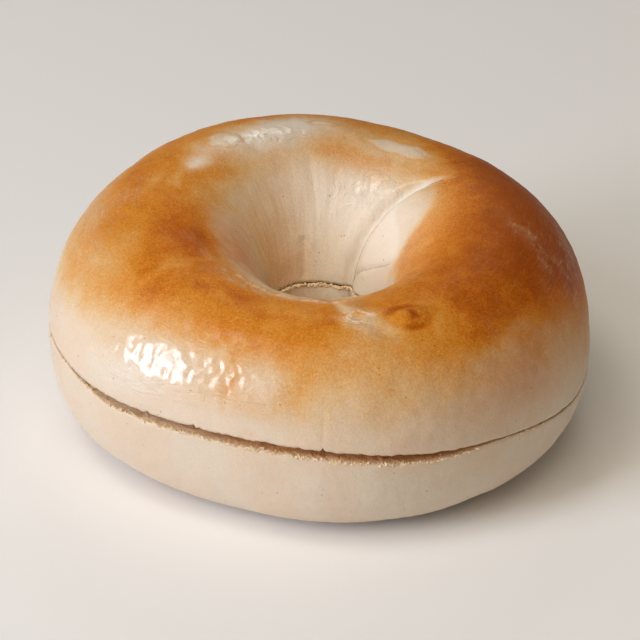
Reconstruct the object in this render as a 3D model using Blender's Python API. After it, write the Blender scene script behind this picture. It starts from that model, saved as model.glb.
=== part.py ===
"""A plain bagel, sliced level right through, with its top half resting on its bottom half.

Metres, +Z up, resting on z = 0 with the box's middle over the origin. Angles run round the hole
from +X towards +Y, and the front is -Y. The ring's section is four curved quarters, whose sizes
change gently round the ring as hand-rolled dough does, and one slightly domed and tilted cut
parts it into the two halves.
"""

import math
from dataclasses import dataclass

import bmesh
import bpy
import numpy as np

MM = 0.001

# How finely the ring is built
STATIONS = 84
TOP_SKIN_POINTS = 23
BOTTOM_SKIN_POINTS = 19
CUT_POINTS = 8
OUTLINE_STEPS_PER_QUARTER = 100
SHARP_EDGE_ANGLE = math.radians(40)


@dataclass(frozen=True)
class RingSize:
    """A size that changes round the ring: a mean, and waves of (crests, depth, angle of a crest)."""

    mean: float
    waves: tuple = ()

    def at(self, angle):
        """The size at one angle, in metres."""
        size = self.mean
        for crests, depth, crest_angle in self.waves:
            size = size + depth * math.cos(crests * (angle - math.radians(crest_angle)))
        return size


# The ring's sizes
OUTER_RADIUS = RingSize(
    50.6 * MM,
    ((1, 0.5 * MM, 112), (2, 0.9 * MM, -29), (3, 1.3 * MM, -44), (4, 0.5 * MM, 11), (6, 0.25 * MM, -27)),
)
HOLE_RADIUS = RingSize(10.75 * MM, ((1, 0.5 * MM, -50), (2, 1.3 * MM, -65)))
CREST_RADIUS = RingSize(31.6 * MM, ((1, 0.5 * MM, -20),))
CREST_HEIGHT = RingSize(42.5 * MM, ((1, 2.4 * MM, 116), (2, 1.2 * MM, -34), (3, 0.25 * MM, -7)))
WIDEST_HEIGHT = RingSize(18.4 * MM, ((1, 0.5 * MM, 159), (2, 0.9 * MM, 0)))
FOOT_RADIUS = RingSize(30.3 * MM, ((1, 0.3 * MM, -97), (2, 0.8 * MM, -89)))
WAIST_HEIGHT = 16.5 * MM
CORE_HEIGHT = 20.0 * MM

# How far the ring's own weight has pressed its foot flat
SETTLED_DEPTH = 0.35 * MM

# How square each quarter of the section is: 2 is an ellipse, and more is squarer
OUTER_SHOULDER_SQUARENESS = 2.25
INNER_SHOULDER_SQUARENESS = 2.05
INNER_BASE_SQUARENESS = 2.4
OUTER_BASE_SQUARENESS = 2.5

# The cut: its height over the hole, its slopes, and how far its middle domes above its rim
CUT_HEIGHT = 19.1 * MM
CUT_SLOPE_X = -0.055
CUT_SLOPE_Y = -0.040
CUT_DOME = 2.2 * MM
CUT_DOME_RADIUS = 50.0 * MM

# The knife's wobble: how far the cut strays up and down at the skin
CUT_WOBBLE = RingSize(
    0.0,
    (
        (3, 0.15 * MM, 39),
        (4, 0.3 * MM, 9),
        (5, 0.2 * MM, -10),
        (6, 0.15 * MM, 7),
        (7, 0.35 * MM, -5),
        (8, 0.3 * MM, 4),
    ),
)
WOBBLE_INNER_RADIUS = 24.0 * MM

# The slit: the gap where the halves meet, and the mouth that stands open round the front left
MEETING_GAP = 0.3 * MM
MOUTH_OPENING = 1.4 * MM
MOUTH_ANGLE = math.radians(-104)
MOUTH_HALF_SPREAD = math.radians(53)
MOUTH_FADE = math.radians(18)
MOUTH_INNER_RADIUS = 16.0 * MM
MOUTH_OUTER_RADIUS = 49.0 * MM

# The lap seam, where one end of the dough lies over the other: a crease that bows from the hole
# out over the crest, seen from above, with the upper end's swollen lip on its -Y side
LAP_END_X = 24.0 * MM
LAP_END_Y = 15.4 * MM
LAP_RUN = 18.5 * MM
LAP_BOW = 5.4 * MM
LAP_DEPTH = 1.2 * MM
LAP_HALF_WIDTH = 1.3 * MM
LAP_START_FADE = 4.0 * MM
LAP_END_FADE = 8.0 * MM
LAP_LOWEST = 5.0 * MM
LAP_FULL_HEIGHT = 14.0 * MM
LIP_SWELL = 1.0 * MM
LIP_WIDTH = 7.0 * MM

# The tuck seam, a shallow crease that curves from the hole's front rim out towards the right
TUCK_START_ANGLE = math.radians(-88)
TUCK_TURN = math.radians(15)
TUCK_START_RADIUS = 23.0 * MM
TUCK_LENGTH = 16.0 * MM
TUCK_DEPTH = 0.6 * MM
TUCK_HALF_WIDTH = 1.6 * MM
TUCK_FADE = 4.0 * MM

# The button, a small wart of darker crust beside the tuck seam
BUTTON_X = 15.1 * MM
BUTTON_Y = -33.2 * MM
BUTTON_RADIUS = 3.0 * MM
BUTTON_RISE = 0.8 * MM

# Finishes: base colour, roughness
TOP_CRUST = ((0.56, 0.25, 0.075), 0.42)
BOTTOM_CRUST = ((0.68, 0.52, 0.35), 0.55)


def clear_scene():
    """Remove whatever the scene holds."""
    for old in list(bpy.data.objects):
        bpy.data.objects.remove(old, do_unlink=True)


def smooth_step(value, low, high):
    """0 up to low, 1 from high on, and a smooth rise between them."""
    share = np.clip((value - low) / (high - low), 0.0, 1.0)
    return share * share * (3.0 - 2.0 * share)


def quarter(side_radius, side_height, end_radius, end_height, squareness):
    """One quarter of the section, from its upright side round to its level end."""
    turn = np.linspace(0.0, math.pi / 2, OUTLINE_STEPS_PER_QUARTER + 1)
    power = 2.0 / squareness
    reach = np.abs(np.cos(turn)) ** power
    rise = np.abs(np.sin(turn)) ** power
    radius = end_radius + (side_radius - end_radius) * reach
    height = side_height + (end_height - side_height) * rise
    return radius, height


def plain_outline(angle):
    """The section without folds, as radii and heights from the foot, out, over and down the hole."""
    outer = OUTER_RADIUS.at(angle)
    widest = WIDEST_HEIGHT.at(angle)
    hole = HOLE_RADIUS.at(angle)
    crest = (CREST_RADIUS.at(angle), CREST_HEIGHT.at(angle))
    foot = (FOOT_RADIUS.at(angle), -SETTLED_DEPTH)
    outer_base = quarter(outer, widest, *foot, OUTER_BASE_SQUARENESS)
    outer_shoulder = quarter(outer, widest, *crest, OUTER_SHOULDER_SQUARENESS)
    inner_shoulder = quarter(hole, WAIST_HEIGHT, *crest, INNER_SHOULDER_SQUARENESS)
    inner_base = quarter(hole, WAIST_HEIGHT, *foot, INNER_BASE_SQUARENESS)
    radius, height = (
        np.concatenate([up[::-1], over[1:], back[-2::-1], down[1:]])
        for up, over, back, down in zip(outer_base, outer_shoulder, inner_shoulder, inner_base)
    )
    return radius, height


def lap_seam(angle, radius, height):
    """The lap seam's crease and the swollen lip beside it."""
    x = radius * math.cos(angle)
    y = radius * math.sin(angle)
    left = (LAP_END_X - x) / LAP_RUN
    slope = 2.0 * left * LAP_BOW / LAP_RUN
    across = (y - LAP_END_Y + LAP_BOW * left * left) / np.hypot(1.0, slope)
    shown = smooth_step(x, 0.0, LAP_START_FADE) * smooth_step(height, LAP_LOWEST, LAP_FULL_HEIGHT)
    shown = shown * (1.0 - smooth_step(x, LAP_END_X - LAP_END_FADE, LAP_END_X))
    crease = -LAP_DEPTH * np.exp(-((across / LAP_HALF_WIDTH) ** 2))
    behind = np.maximum(-across, 0.0)
    lip = LIP_SWELL * (1.0 - np.exp(-behind / LAP_HALF_WIDTH)) * np.exp(-((behind / LIP_WIDTH) ** 2))
    return shown * (crease + lip)


def tuck_seam(angle, radius, height):
    """The shallow crease at the front of the crest."""
    share = (radius - TUCK_START_RADIUS) / TUCK_LENGTH
    seam_angle = TUCK_START_ANGLE + TUCK_TURN * np.maximum(share, 0.0) ** 2
    across = radius * np.sin(angle - seam_angle)
    facing = np.cos(angle - seam_angle) > 0.0
    end_radius = TUCK_START_RADIUS + TUCK_LENGTH
    shown = smooth_step(radius, TUCK_START_RADIUS - TUCK_FADE, TUCK_START_RADIUS)
    shown = shown * (1.0 - smooth_step(radius, end_radius, end_radius + TUCK_FADE))
    shown = shown * facing * (height > CORE_HEIGHT)
    return -TUCK_DEPTH * shown * np.exp(-((across / TUCK_HALF_WIDTH) ** 2))


def button(angle, radius, height):
    """The small wart on the crest."""
    away = np.hypot(radius * math.cos(angle) - BUTTON_X, radius * math.sin(angle) - BUTTON_Y)
    return BUTTON_RISE * (height > CORE_HEIGHT) * np.exp(-((away / BUTTON_RADIUS) ** 2))


def outline(angle):
    """The section with its folds, flat where it rests."""
    radius, height = plain_outline(angle)
    out_radius = radius - CREST_RADIUS.at(angle)
    out_height = height - CORE_HEIGHT
    reach = np.hypot(out_radius, out_height)
    relief = sum(fold(angle, radius, height) for fold in (lap_seam, tuck_seam, button))
    radius = radius + relief * out_radius / reach
    height = height + relief * out_height / reach
    return radius, np.maximum(height, 0.0)


def mouth_gap(angle, radius):
    """The gap between the two cut faces."""
    turned = abs((angle - MOUTH_ANGLE + math.pi) % (2.0 * math.pi) - math.pi)
    open_round = 1.0 - smooth_step(turned, MOUTH_HALF_SPREAD - MOUTH_FADE, MOUTH_HALF_SPREAD)
    open_across = smooth_step(radius, MOUTH_INNER_RADIUS, MOUTH_OUTER_RADIUS)
    return MEETING_GAP + MOUTH_OPENING * open_round * open_across


def cut_height(angle, radius, side):
    """The height of a cut face: side is +1 for the top half's, and -1 for the bottom half's."""
    tilt = radius * (CUT_SLOPE_X * math.cos(angle) + CUT_SLOPE_Y * math.sin(angle))
    dome = CUT_DOME * (1.0 - (radius / CUT_DOME_RADIUS) ** 2)
    wobble = CUT_WOBBLE.at(angle) * smooth_step(radius, WOBBLE_INNER_RADIUS, CUT_DOME_RADIUS)
    upper_face = CUT_HEIGHT + tilt + dome + wobble
    return upper_face if side > 0 else upper_face - mouth_gap(angle, radius)


def spread(radius, height, count):
    """The points of a line that divide it evenly."""
    steps = np.hypot(np.diff(radius), np.diff(height))
    length = np.concatenate([[0.0], np.cumsum(steps)])
    places = np.linspace(0.0, length[-1], count)
    return np.interp(places, length, radius), np.interp(places, length, height)


def crossing(radius, height, clearance, before):
    """Where the outline between two of its points passes through the cut face."""
    share = clearance[before] / (clearance[before] - clearance[before + 1])
    crossing_radius = radius[before] + share * (radius[before + 1] - radius[before])
    crossing_height = height[before] + share * (height[before + 1] - height[before])
    return crossing_radius, crossing_height


def half_section(angle, side):
    """One half's closed section, running from one lip over its skin and back along its cut face."""
    radius, height = outline(angle)
    clearance = height - cut_height(angle, radius, side)
    changes = np.nonzero(np.diff(np.sign(clearance)))[0]
    outer_before, inner_before = changes[0], changes[-1]
    outer_lip = crossing(radius, height, clearance, outer_before)
    inner_lip = crossing(radius, height, clearance, inner_before)
    if side > 0:
        skin = slice(outer_before + 1, inner_before + 1)
        line = [radius[skin], height[skin]]
        start, end, count = outer_lip, inner_lip, TOP_SKIN_POINTS
    else:
        line = [
            np.concatenate([radius[inner_before + 1:], radius[1:outer_before + 1]]),
            np.concatenate([height[inner_before + 1:], height[1:outer_before + 1]]),
        ]
        start, end, count = inner_lip, outer_lip, BOTTOM_SKIN_POINTS
    skin_radius = np.concatenate([[start[0]], line[0], [end[0]]])
    skin_height = np.concatenate([[start[1]], line[1], [end[1]]])
    skin_radius, skin_height = spread(skin_radius, skin_height, count)
    cut_radius = np.linspace(end[0], start[0], CUT_POINTS + 2)[1:-1]
    face_height = cut_height(angle, cut_radius, side)
    return np.concatenate([skin_radius, cut_radius]), np.concatenate([skin_height, face_height])


def make_material(name, finish):
    """A Principled material in one colour."""
    colour, roughness = finish
    material = bpy.data.materials.new(name)
    material.use_nodes = True
    shader = material.node_tree.nodes["Principled BSDF"]
    shader.inputs["Base Color"].default_value = (*colour, 1.0)
    shader.inputs["Roughness"].default_value = roughness
    shader.inputs["Metallic"].default_value = 0.0
    return material


def make_half(name, side, finish):
    """Loft one half of the bagel through its sections round the ring."""
    bm = bmesh.new()
    rings = []
    for station in range(STATIONS):
        angle = 2.0 * math.pi * station / STATIONS
        radii, heights = half_section(angle, side)
        ring = []
        for radius, height in zip(radii, heights):
            ring.append(bm.verts.new((radius * math.cos(angle), radius * math.sin(angle), height)))
        rings.append(ring)
    for station, ring in enumerate(rings):
        following = rings[(station + 1) % STATIONS]
        for point in range(len(ring)):
            after = (point + 1) % len(ring)
            bm.faces.new((ring[point], following[point], following[after], ring[after]))
    bmesh.ops.triangulate(bm, faces=bm.faces[:])
    bmesh.ops.recalc_face_normals(bm, faces=bm.faces[:])
    mesh = bpy.data.meshes.new(name)
    bm.to_mesh(mesh)
    bm.free()
    mesh.shade_smooth()
    mesh.set_sharp_from_angle(angle=SHARP_EDGE_ANGLE)
    mesh.materials.append(make_material(name + "_crust", finish))
    half = bpy.data.objects.new(name, mesh)
    bpy.context.scene.collection.objects.link(half)
    return half


def centre_over_origin(pieces):
    """Move the pieces together, level, so that the middle of their box is over the origin."""
    corners = np.array([vertex.co[:2] for piece in pieces for vertex in piece.data.vertices])
    middle = (corners.min(axis=0) + corners.max(axis=0)) / 2.0
    for piece in pieces:
        piece.location = (-middle[0], -middle[1], 0.0)


def main():
    """Build the bagel."""
    clear_scene()
    bottom_half = make_half("bottom_half", -1, BOTTOM_CRUST)
    top_half = make_half("top_half", 1, TOP_CRUST)
    centre_over_origin([bottom_half, top_half])


main()
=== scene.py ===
"""A plain bagel, sliced level right through: its looks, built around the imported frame.

Metres, +Z up. The ring of dough is worked out from the same sizes as its CAD solids, in far finer
steps, so that folds, blisters, wrinkles and the torn edges of the cut are real shapes. Places on
the ring are told by two angles in degrees: round the hole, from +X towards +Y with the front at
-90, and over the ring, from its outside at 0, past its crest at 90, to its hole at 180.
"""

import logging
import math
from dataclasses import dataclass, field
from enum import Enum
from typing import Any, Union

import bpy
import numpy as np
from mathutils import Matrix, Vector, noise


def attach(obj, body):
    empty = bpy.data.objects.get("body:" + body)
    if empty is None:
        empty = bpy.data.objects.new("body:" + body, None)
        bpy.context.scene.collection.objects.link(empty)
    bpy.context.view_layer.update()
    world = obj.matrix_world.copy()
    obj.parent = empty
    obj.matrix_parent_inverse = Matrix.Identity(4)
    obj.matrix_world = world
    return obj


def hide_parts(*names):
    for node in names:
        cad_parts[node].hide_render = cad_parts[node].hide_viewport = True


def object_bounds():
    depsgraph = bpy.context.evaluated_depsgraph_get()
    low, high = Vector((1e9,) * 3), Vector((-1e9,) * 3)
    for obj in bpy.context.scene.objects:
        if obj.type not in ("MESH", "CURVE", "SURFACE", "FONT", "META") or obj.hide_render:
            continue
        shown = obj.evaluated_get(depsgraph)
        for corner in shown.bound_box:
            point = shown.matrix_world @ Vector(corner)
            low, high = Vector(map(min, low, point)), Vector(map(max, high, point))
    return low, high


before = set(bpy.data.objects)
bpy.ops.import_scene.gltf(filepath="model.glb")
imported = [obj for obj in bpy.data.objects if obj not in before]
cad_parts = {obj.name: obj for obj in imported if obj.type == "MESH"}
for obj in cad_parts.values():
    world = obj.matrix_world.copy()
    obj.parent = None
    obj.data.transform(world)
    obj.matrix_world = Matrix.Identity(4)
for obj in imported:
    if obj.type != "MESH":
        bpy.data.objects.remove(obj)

CAD_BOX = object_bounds()

MM = 0.001
BODY = "root"

Array = np.ndarray
log = logging.getLogger("bagel")


# ---------------------------------------------------------------------------------------------
# Small sums
# ---------------------------------------------------------------------------------------------


def smooth_step(value: Array | float, low: float, high: float) -> Array:
    """Ease from 0 at low to 1 at high.

    Args:
        value: The numbers to ease.
        low: Where the rise begins.
        high: Where the rise ends.

    Returns:
        Numbers from 0 to 1.
    """
    share = np.clip((value - low) / (high - low), 0.0, 1.0)
    return share * share * (3.0 - 2.0 * share)


def bell(distance: Array | float, half_width: Array | float) -> Array:
    """Return 1 at no distance, falling away over half_width on both sides."""
    return np.exp(-((distance / half_width) ** 2))


def turn_between(angle: Array, other: Array | float) -> Array:
    """Return the turn from other to angle, in radians from -pi to pi."""
    return (angle - other + math.pi) % (2.0 * math.pi) - math.pi


def grain(places: Array, size: float, octaves: int, seed: int) -> Array:
    """Sample smooth solid noise.

    Args:
        places: Points, as an array whose last axis is x, y, z.
        size: The size of the largest lumps, in metres.
        octaves: How many ever finer layers are added up.
        seed: Moves the noise, so that two uses differ.

    Returns:
        Numbers of about -1 to 1, one for each point.
    """
    shifted = places / size + np.array([seed * 17.3, seed * -9.1, seed * 4.7])
    flat = shifted.reshape(-1, 3).tolist()
    values = [noise.fractal(place, 1.0, 2.0, octaves) for place in flat]
    return np.array(values).reshape(places.shape[:-1])


# ---------------------------------------------------------------------------------------------
# The dough's form
# ---------------------------------------------------------------------------------------------


@dataclass(frozen=True)
class RingSize:
    """A size that changes gently round the ring.

    mean is the size's mean, and each wave is (crests, depth, angle of a crest in degrees).
    """

    mean: float
    waves: tuple[tuple[int, float, float], ...] = ()

    def at(self, angle: Array) -> Array:
        """Return the size at each angle round the ring."""
        size = np.full_like(angle, self.mean)
        for crests, depth, crest_angle in self.waves:
            size = size + depth * np.cos(crests * (angle - math.radians(crest_angle)))
        return size


class Side(Enum):
    """Which half of the sliced ring."""

    TOP = 1
    BOTTOM = -1


@dataclass(frozen=True)
class Section:
    """The ring's plain section: four curved quarters whose sizes change round the ring."""

    outer_radius: RingSize = RingSize(
        50.6 * MM,
        ((1, 0.5 * MM, 112), (2, 0.9 * MM, -29), (3, 1.3 * MM, -44), (4, 0.5 * MM, 11), (6, 0.25 * MM, -27)),
    )
    hole_radius: RingSize = RingSize(10.75 * MM, ((1, 0.5 * MM, -50), (2, 1.3 * MM, -65)))
    crest_radius: RingSize = RingSize(31.6 * MM, ((1, 0.5 * MM, -20),))
    crest_height: RingSize = RingSize(42.5 * MM, ((1, 2.4 * MM, 116), (2, 1.2 * MM, -34), (3, 0.25 * MM, -7)))
    widest_height: RingSize = RingSize(18.4 * MM, ((1, 0.5 * MM, 159), (2, 0.9 * MM, 0)))
    foot_radius: RingSize = RingSize(30.3 * MM, ((1, 0.3 * MM, -97), (2, 0.8 * MM, -89)))
    waist_height: float = 16.5 * MM
    settled_depth: float = 0.35 * MM
    core_height: float = 20.0 * MM
    outer_shoulder_squareness: float = 2.25
    inner_shoulder_squareness: float = 2.05
    inner_base_squareness: float = 2.4
    outer_base_squareness: float = 2.5
    steps_per_quarter: int = 110

    def quarter(self, side: tuple[Array, Array], end: tuple[Array, Array], squareness: float) -> Array:
        """Trace one quarter, from its upright side round to its level end.

        Args:
            side: Radius and height of the upright side, for each angle.
            end: Radius and height of the level end, for each angle.
            squareness: 2 is an ellipse, and more is squarer.

        Returns:
            Radii and heights, as an array of (2, angles, steps).
        """
        turn = np.linspace(0.0, math.pi / 2, self.steps_per_quarter + 1)
        reach = np.abs(np.cos(turn)) ** (2.0 / squareness)
        rise = np.abs(np.sin(turn)) ** (2.0 / squareness)
        radius = end[0] + (side[0] - end[0]) * reach
        height = side[1] + (end[1] - side[1]) * rise
        return np.stack([radius, height])

    def outline(self, angle: Array) -> Array:
        """Trace the section from its foot, out, over the crest and down the hole.

        Args:
            angle: A column of angles.

        Returns:
            Radii and heights, as an array of (2, angles, steps).
        """
        outer = (self.outer_radius.at(angle), self.widest_height.at(angle))
        inner = (self.hole_radius.at(angle), np.full_like(angle, self.waist_height))
        crest = (self.crest_radius.at(angle), self.crest_height.at(angle))
        foot = (self.foot_radius.at(angle), np.full_like(angle, -self.settled_depth))
        up = self.quarter(outer, foot, self.outer_base_squareness)
        over = self.quarter(outer, crest, self.outer_shoulder_squareness)
        back = self.quarter(inner, crest, self.inner_shoulder_squareness)
        down = self.quarter(inner, foot, self.inner_base_squareness)
        return np.concatenate([up[:, :, ::-1], over[:, :, 1:], back[:, :, -2::-1], down[:, :, 1:]], axis=2)


@dataclass(frozen=True)
class LapSeam:
    """The crease where one end of the dough lies over the other, and the swollen lip beside it.

    The lip's bare skin has the shape of a lens: it is widest low in the hole, and a fine second
    crease runs along its lower edge.
    """

    end_x: float = 24.0 * MM
    end_y: float = 15.4 * MM
    run: float = 18.5 * MM
    bow: float = 5.4 * MM
    depth: float = 1.2 * MM
    half_width: float = 1.3 * MM
    start_fade: float = 4.0 * MM
    end_fade: float = 8.0 * MM
    lowest: float = 5.0 * MM
    full_height: float = 14.0 * MM
    lip_swell: float = 1.0 * MM
    lip_width: float = 7.0 * MM
    lens_width: float = 11.3 * MM
    lens_rim: float = 0.7 * MM
    lens_height: float = 31.5 * MM
    lens_half_height: float = 5.6 * MM
    lower_crease_inset: float = 1.6 * MM
    lower_crease_depth: float = 0.25 * MM
    lower_crease_half_width: float = 0.45 * MM

    def across(self, x: Array, y: Array) -> Array:
        """Return how far each place lies from the crease, positive on its +Y side."""
        left = (self.end_x - x) / self.run
        slope = 2.0 * left * self.bow / self.run
        return (y - self.end_y + self.bow * left * left) / np.hypot(1.0, slope)

    def shown(self, x: Array, height: Array) -> Array:
        """Return how strongly the seam shows at each place, 0 to 1."""
        begun = smooth_step(x, 0.0, self.start_fade) * smooth_step(height, self.lowest, self.full_height)
        return begun * (1.0 - smooth_step(x, self.end_x - self.end_fade, self.end_x))

    def relief(self, x: Array, y: Array, height: Array) -> Array:
        """Return how far the skin stands out (+) or sinks (-) at each place."""
        across = self.across(x, y)
        behind = np.maximum(-across, 0.0)
        lip = self.lip_swell * (1.0 - np.exp(-behind / self.half_width)) * bell(behind, self.lip_width)
        return self.shown(x, height) * (lip - self.depth * bell(across, self.half_width))

    def crease(self, x: Array, y: Array, height: Array) -> Array:
        """Return how far each place lies from where the crease shows as a line."""
        across = self.across(x, y)
        hidden = 1.0 - smooth_step(x, 2.0 * MM, 4.0 * MM) * (1.0 - smooth_step(x, self.end_x - 1.0 * MM, self.end_x))
        low = 1.0 * (height < self.full_height)
        return across + np.copysign(10.0 * MM * np.maximum(hidden, low), across)

    def lens_reach(self, height: Array) -> Array:
        """Return how far the bare lens reaches from the crease at each height."""
        return self.lens_rim + self.lens_width * bell(height - self.lens_height, self.lens_half_height)

    def lower_crease(self, x: Array, y: Array, height: Array) -> Array:
        """Return how far each place lies from the lens's lower crease."""
        from_edge = self.across(x, y) + self.lens_reach(height) - self.lower_crease_inset
        low = smooth_step(height, self.lens_height - 2.0 * MM, self.lens_height + 1.0 * MM)
        hidden = low + smooth_step(-x, -4.0 * MM, -2.0 * MM) + smooth_step(x, 18.0 * MM, 20.0 * MM)
        return from_edge + np.copysign(10.0 * MM * hidden, from_edge)


@dataclass(frozen=True)
class TuckSeam:
    """The shallow crease that curves from the hole's front rim out towards the right."""

    start_angle: float = math.radians(-88)
    turn: float = math.radians(15)
    start_radius: float = 23.0 * MM
    length: float = 16.0 * MM
    depth: float = 0.14 * MM
    half_width: float = 1.3 * MM
    fade: float = 4.0 * MM

    def across(self, angle: Array, radius: Array) -> Array:
        """Return how far each place lies from the crease."""
        share = np.maximum((radius - self.start_radius) / self.length, 0.0)
        turned = angle - self.start_angle - self.turn * share**2
        return np.where(np.cos(turned) > 0.0, radius * np.sin(turned), 1.0)

    def shown(self, radius: Array, height: Array, core_height: float) -> Array:
        """Return how strongly the seam shows at each place, 0 to 1."""
        end = self.start_radius + self.length
        along = smooth_step(radius, self.start_radius - self.fade, self.start_radius)
        return along * (1.0 - smooth_step(radius, end, end + self.fade)) * (height > core_height)

    def relief(self, angle: Array, radius: Array, height: Array, core_height: float) -> Array:
        """Return how far the skin sinks (-) at each place."""
        sunk = bell(self.across(angle, radius), self.half_width)
        return -self.depth * self.shown(radius, height, core_height) * sunk


@dataclass(frozen=True)
class Button:
    """The small wart of darker crust beside the tuck seam."""

    x: float = 15.1 * MM
    y: float = -33.2 * MM
    radius: float = 3.0 * MM
    rise: float = 0.8 * MM
    whorl_long: float = 3.7 * MM
    whorl_wide: float = 2.7 * MM
    whorl_half_width: float = 0.6 * MM
    whorl_depth: float = 0.35 * MM

    def away(self, x: Array, y: Array, height: Array, core_height: float) -> Array:
        """Return how far each place lies from the button's middle."""
        return np.hypot(x - self.x, y - self.y) + 1.0 * (height < core_height)

    def relief(self, x: Array, y: Array, height: Array, core_height: float) -> Array:
        """Return how far the skin stands out at each place."""
        return self.rise * bell(self.away(x, y, height, core_height), self.radius)

    def whorl(self, skin: "SkinPlaces") -> Array:
        """Return how strongly the broken ring round the button shows at each place."""
        strayed = skin.points + 0.5 * MM * grain(skin.points, 2.0 * MM, 3, 51)[..., None]
        across, away = strayed[..., 0] - self.x, strayed[..., 1] - self.y
        turn = np.arctan2(away, across)
        ring = np.hypot(across / self.whorl_long, away / self.whorl_wide)
        line = bell((ring - 1.0) * self.whorl_wide, self.whorl_half_width)
        broken = 0.55 + 0.45 * np.cos(2.0 * turn - math.radians(230))
        inner = 0.8 * bell((ring - 0.35) * self.whorl_wide, self.whorl_half_width) * (0.5 + 0.5 * np.cos(turn))
        return (line * broken + inner) * (skin.height > 20.0 * MM)


@dataclass(frozen=True)
class Cut:
    """The knife's cut: slightly domed, tilted and wavy, and standing open round the front left."""

    height: float = 19.1 * MM
    slope_x: float = -0.055
    slope_y: float = -0.040
    dome: float = 2.2 * MM
    dome_radius: float = 50.0 * MM
    wobble: RingSize = RingSize(
        0.0,
        (
            (3, 0.15 * MM, 39),
            (4, 0.3 * MM, 9),
            (5, 0.2 * MM, -10),
            (6, 0.15 * MM, 7),
            (7, 0.35 * MM, -5),
            (8, 0.3 * MM, 4),
        ),
    )
    wobble_inner_radius: float = 24.0 * MM
    meeting_gap: float = 0.3 * MM
    mouth_opening: float = 1.6 * MM
    mouth_angle: float = math.radians(-104)
    mouth_half_spread: float = math.radians(53)
    mouth_fade: float = math.radians(18)
    mouth_inner_radius: float = 16.0 * MM
    mouth_outer_radius: float = 49.0 * MM
    tear: float = 0.18 * MM
    tear_size: float = 1.1 * MM
    hole_tear: float = 0.28 * MM
    hole_tear_lift: float = 0.15
    hole_tear_size: float = 0.7 * MM
    nicks: tuple[tuple[float, float, float], ...] = ((-90.3, 0.35, 0.9), (-119.5, 0.5, 0.5), (-131, 0.8, 0.45), (-33, 0.9, 0.35))

    def gape(self, angle: Array, radius: Array) -> Array:
        """Return how far the mouth stands open at each place, from 0 to 1."""
        turned = np.abs(turn_between(angle, self.mouth_angle))
        shut = smooth_step(turned, self.mouth_half_spread - self.mouth_fade, self.mouth_half_spread)
        return (1.0 - shut) * smooth_step(radius, self.mouth_inner_radius, self.mouth_outer_radius)

    def face(self, angle: Array, radius: Array, side: Side) -> Array:
        """Return the height of one half's face, as the knife left it, at each place."""
        tilt = radius * (self.slope_x * np.cos(angle) + self.slope_y * np.sin(angle))
        dome = self.dome * (1.0 - (radius / self.dome_radius) ** 2)
        strayed = self.wobble.at(angle) * smooth_step(radius, self.wobble_inner_radius, self.dome_radius)
        upper = self.height + tilt + dome + strayed
        if side is Side.TOP:
            return upper
        return upper - self.meeting_gap - self.mouth_opening * self.gape(angle, radius)

    def torn_face(self, angle: Array, radius: Array, side: Side) -> Array:
        """Return the height of one half's face with its torn crumb, which never meets the other's."""
        seed = 21 if side is Side.TOP else 22
        flat = np.stack([radius * np.cos(angle), radius * np.sin(angle), 0.0 * radius], axis=-1)
        open_share = self.gape(angle, radius)
        torn = grain(flat, self.tear_size, 4, seed) * (0.5 + 0.9 * open_share) + 0.6 * (1.0 - open_share)
        hole_lip = 1.0 - smooth_step(radius, self.mouth_inner_radius, self.wobble_inner_radius)
        away = self.tear * torn * (1.0 - 0.5 * hole_lip) + self.hole_tear * hole_lip * (self.hole_tear_lift + grain(flat, self.hole_tear_size, 3, seed + 2))
        if side is Side.TOP:
            for nick_angle, half_width, depth in self.nicks:
                off = turn_between(angle, math.radians(nick_angle)) / math.radians(half_width)
                away = away + depth * MM * np.maximum(1.0 - np.abs(off), 0.0) * (radius > self.wobble_inner_radius)
        return self.face(angle, radius, side) + side.value * away


@dataclass(frozen=True)
class Dough:
    """The whole ring of dough, with its folds, before it is parted."""

    section: Section = Section()
    lap: LapSeam = LapSeam()
    tuck: TuckSeam = TuckSeam()
    button: Button = Button()
    cut: Cut = Cut()

    def folds(self, angle: Array, radius: Array, height: Array) -> Array:
        """Return how far the folds move the skin out at each place."""
        x = radius * np.cos(angle)
        y = radius * np.sin(angle)
        core = self.section.core_height
        lap = self.lap.relief(x, y, height)
        tuck = self.tuck.relief(angle, radius, height, core)
        return lap + tuck + self.button.relief(x, y, height, core)

    def outline(self, angle: Array) -> Array:
        """Trace the folded section at each angle, as (2, angles, steps)."""
        radius, height = self.section.outline(angle)
        out_radius = radius - self.section.crest_radius.at(angle)
        out_height = height - self.section.core_height
        reach = np.hypot(out_radius, out_height)
        relief = self.folds(angle, radius, height)
        radius = radius + relief * out_radius / reach
        height = height + relief * out_height / reach
        return np.stack([radius, np.maximum(height, 0.0)])


class Placing:
    """How the dough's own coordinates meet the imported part's box."""

    def __init__(self, dough: Dough) -> None:
        """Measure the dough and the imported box.

        Args:
            dough: The form that the box is matched to.
        """
        angles = np.linspace(0.0, 2.0 * math.pi, 720, endpoint=False)[:, None]
        radius, height = dough.outline(angles)
        x, y = radius * np.cos(angles), radius * np.sin(angles)
        middle = np.array([x.min() + x.max(), y.min() + y.max()]) / 2.0
        cad_middle = np.array((CAD_BOX[0] + CAD_BOX[1]) / 2.0)[:2]
        self.shift = np.array([*(cad_middle - middle), CAD_BOX[0].z])

    def place(self, points: Array) -> Array:
        """Move points from the dough's own coordinates into the frame."""
        return points + self.shift


# ---------------------------------------------------------------------------------------------
# Skin: fine relief and browning
# ---------------------------------------------------------------------------------------------


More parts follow.
